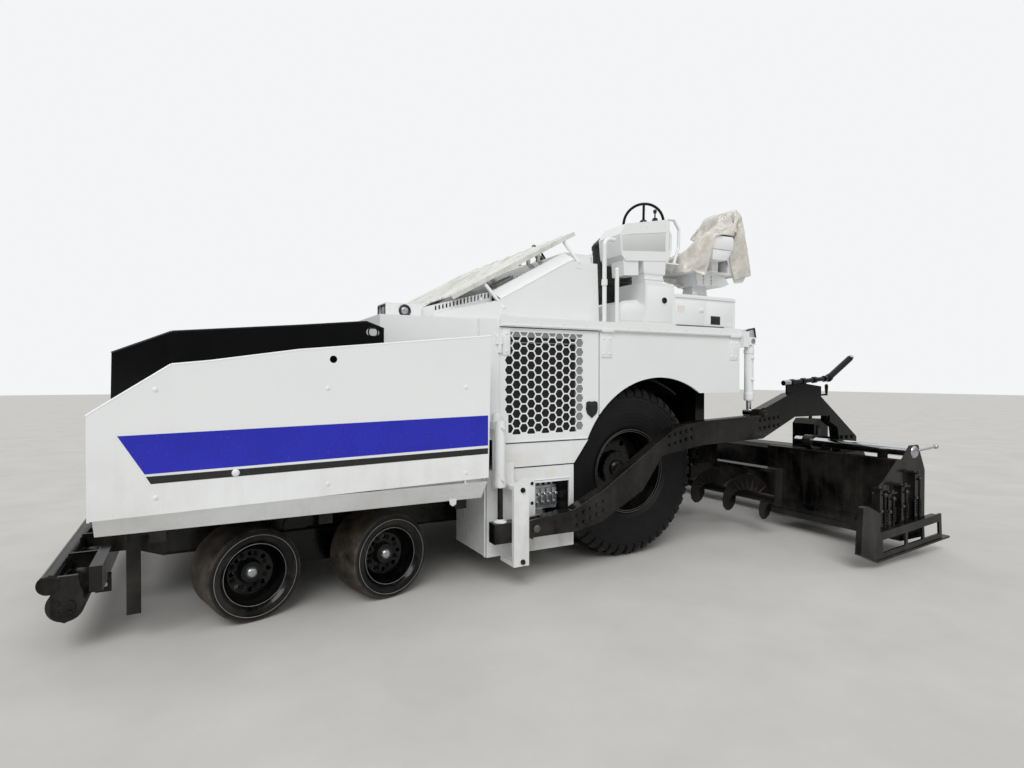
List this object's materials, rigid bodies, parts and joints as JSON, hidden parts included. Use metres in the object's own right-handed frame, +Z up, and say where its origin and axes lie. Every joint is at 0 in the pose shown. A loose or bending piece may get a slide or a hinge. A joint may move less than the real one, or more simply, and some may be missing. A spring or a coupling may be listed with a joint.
{
  "type": "asphalt paver",
  "caption": "Rubber-tyred asphalt paver with a front hopper, sloped hood, raised operator's deck and a towed screed with sliding extensions.",
  "frame": {"origin": "middle of the machine's outline on the ground", "axes": "+X forward to the hopper, +Y to the machine's left, +Z up"},
  "size_m": [6.85, 4.74, 3.06],
  "materials": {
    "white_paint": "gloss",
    "black_paint": "satin gloss",
    "bare_steel": "worn",
    "chrome_rod": "polished",
    "front_rubber": "dusty solid rubber",
    "drive_rubber": "black rubber",
    "engine_grey": "painted casting",
    "seat_cover": "clear film over vinyl",
    "grip_black": "matte"
  },
  "bodies": {
    "tractor": {"main_frame": "black_paint", "drive_hubs": "black_paint", "bogie_beams": "black_paint", "conveyor_floor": "bare_steel", "conveyor_slats": "bare_steel", "hopper_sides": "white_paint", "front_body": "white_paint", "tractor_body": "white_paint", "side_boxes": "white_paint", "deck": "white_paint", "engine_block": "engine_grey", "hood_shell": "white_paint", "rail_posts": "white_paint", "deck_consoles": "white_paint", "steering_wheels": "grip_black", "air_cleaner": "black_paint", "seat_bases": "white_paint", "seats": "seat_cover", "rear_frame": "black_paint", "push_frame": "black_paint", "tow_cylinders": "white_paint"},
    "hood": {"hood_cover": "white_paint"},
    "roller_left": {"push_roller_left": "bare_steel"},
    "roller_right": {"push_roller_right": "bare_steel"},
    "wing_left": {"wing_left": "black_paint"},
    "wing_right": {"wing_right": "black_paint"},
    "door_left": {"door_left": "white_paint"},
    "door_right": {"door_right": "white_paint"},
    "drive_wheel_left": {"drive_tyre_left": "drive_rubber", "drive_rim_left": "black_paint"},
    "drive_wheel_right": {"drive_tyre_right": "drive_rubber", "drive_rim_right": "black_paint"},
    "tow_points": {"tow_blocks": "black_paint"},
    "screed": {"tow_arms": "black_paint", "screed_main": "black_paint"},
    "extension_left": {"extension_left": "black_paint"},
    "extension_right": {"extension_right": "black_paint"},
    "auger_left": {"auger_left": "bare_steel"},
    "auger_right": {"auger_right": "bare_steel"},
    "lift_barrels": {"lift_barrels": "white_paint"},
    "lift_rods": {"lift_rods": "chrome_rod"},
    "knuckle_front_left": {"knuckle_front_left": "black_paint"},
    "wheel_front_left": {"tyre_front_left": "front_rubber", "rim_front_left": "black_paint"},
    "knuckle_rear_left": {"knuckle_rear_left": "black_paint"},
    "wheel_rear_left": {"tyre_rear_left": "front_rubber", "rim_rear_left": "black_paint"},
    "knuckle_front_right": {"knuckle_front_right": "black_paint"},
    "wheel_front_right": {"tyre_front_right": "front_rubber", "rim_front_right": "black_paint"},
    "knuckle_rear_right": {"knuckle_rear_right": "black_paint"},
    "wheel_rear_right": {"tyre_rear_right": "front_rubber", "rim_rear_right": "black_paint"}
  },
  "joints": [
    {"name": "steer_front_left", "type": "hinge", "parent": "tractor", "child": "knuckle_front_left", "pos_m": [2.475, 0.77, 0.2825], "axis": [0, 0, 1], "range_deg": [-45, 15]},
    {"name": "spin_front_left", "type": "hinge", "parent": "knuckle_front_left", "child": "wheel_front_left", "pos_m": [2.475, 0.77, 0.2825], "axis": [-0.2588, 0.9659, 0], "continuous": true},
    {"name": "steer_rear_left", "type": "hinge", "parent": "tractor", "child": "knuckle_rear_left", "pos_m": [1.635, 0.77, 0.2825], "axis": [0, 0, 1], "range_deg": [-45, 15]},
    {"name": "spin_rear_left", "type": "hinge", "parent": "knuckle_rear_left", "child": "wheel_rear_left", "pos_m": [1.635, 0.77, 0.2825], "axis": [-0.2588, 0.9659, 0], "continuous": true},
    {"name": "steer_front_right", "type": "hinge", "parent": "tractor", "child": "knuckle_front_right", "pos_m": [2.475, -0.77, 0.2825], "axis": [0, 0, 1], "range_deg": [-45, 15]},
    {"name": "spin_front_right", "type": "hinge", "parent": "knuckle_front_right", "child": "wheel_front_right", "pos_m": [2.475, -0.77, 0.2825], "axis": [-0.2588, 0.9659, 0], "continuous": true},
    {"name": "steer_rear_right", "type": "hinge", "parent": "tractor", "child": "knuckle_rear_right", "pos_m": [1.635, -0.77, 0.2825], "axis": [0, 0, 1], "range_deg": [-45, 15]},
    {"name": "spin_rear_right", "type": "hinge", "parent": "knuckle_rear_right", "child": "wheel_rear_right", "pos_m": [1.635, -0.77, 0.2825], "axis": [-0.2588, 0.9659, 0], "continuous": true},
    {"name": "drive_spin_left", "type": "hinge", "parent": "tractor", "child": "drive_wheel_left", "pos_m": [-0.495, 0, 0.71], "axis": [0, 1, 0], "continuous": true},
    {"name": "drive_spin_right", "type": "hinge", "parent": "tractor", "child": "drive_wheel_right", "pos_m": [-0.495, 0, 0.71], "axis": [0, 1, 0], "continuous": true},
    {"name": "roller_spin_left", "type": "hinge", "parent": "tractor", "child": "roller_left", "pos_m": [3.305, 0, 0.262], "axis": [0, 1, 0], "continuous": true},
    {"name": "roller_spin_right", "type": "hinge", "parent": "tractor", "child": "roller_right", "pos_m": [3.305, 0, 0.262], "axis": [0, 1, 0], "continuous": true},
    {"name": "auger_spin_left", "type": "hinge", "parent": "tractor", "child": "auger_left", "pos_m": [-2.065, 0, 0.35], "axis": [0, 1, 0], "continuous": true},
    {"name": "auger_spin_right", "type": "hinge", "parent": "tractor", "child": "auger_right", "pos_m": [-2.065, 0, 0.35], "axis": [0, 1, 0], "continuous": true},
    {"name": "wing_fold_left", "type": "hinge", "parent": "tractor", "child": "wing_left", "pos_m": [0, 0.65, 0.72], "axis": [1, 0, 0], "range_deg": [0, 50]},
    {"name": "wing_fold_right", "type": "hinge", "parent": "tractor", "child": "wing_right", "pos_m": [0, -0.65, 0.72], "axis": [-1, 0, 0], "range_deg": [0, 50]},
    {"name": "door_open_left", "type": "hinge", "parent": "tractor", "child": "door_left", "pos_m": [0.748, 1.306, 0], "axis": [0, 0, -1], "range_deg": [0, 100]},
    {"name": "door_open_right", "type": "hinge", "parent": "tractor", "child": "door_right", "pos_m": [0.748, -1.306, 0], "axis": [0, 0, 1], "range_deg": [0, 100]},
    {"name": "hood_open", "type": "hinge", "parent": "tractor", "child": "hood", "pos_m": [0.015, 0, 2.60655], "axis": [0, -1, 0], "range_deg": [0, 55]},
    {"name": "tow_point_lift", "type": "slide", "parent": "tractor", "child": "tow_points", "axis": [0, 0, 1], "range_m": [0, 0.15]},
    {"name": "screed_lift", "type": "hinge", "parent": "tow_points", "child": "screed", "pos_m": [0.545, 0, 0.41], "axis": [0, 1, 0], "range_deg": [-0.4, 1.8]},
    {"name": "extension_slide_left", "type": "slide", "parent": "screed", "child": "extension_left", "axis": [0, 1, 0], "range_m": [-0.78, 0.1]},
    {"name": "extension_slide_right", "type": "slide", "parent": "screed", "child": "extension_right", "axis": [0, -1, 0], "range_m": [-0.78, 0.1]},
    {"name": "lift_barrel_tilt", "type": "hinge", "parent": "tractor", "child": "lift_barrels", "pos_m": [-1.795, 0, 1.815], "axis": [0, 1, 0], "range_deg": [-4, 4]},
    {"name": "lift_rod_slide", "type": "slide", "parent": "lift_barrels", "child": "lift_rods", "axis": [0, 0, 1], "range_m": [-0.03, 0.08]}
  ],
  "couplings": [
    {"joint": "steer_rear_left", "follows": "steer_front_left", "ratio": 1},
    {"joint": "steer_front_right", "follows": "steer_front_left", "ratio": 1},
    {"joint": "steer_rear_right", "follows": "steer_front_left", "ratio": 1},
    {"joint": "lift_barrel_tilt", "follows": "screed_lift", "ratio": -1.2724},
    {"joint": "lift_rod_slide", "follows": "screed_lift", "m_per_rad": 2.3247}
  ]
}
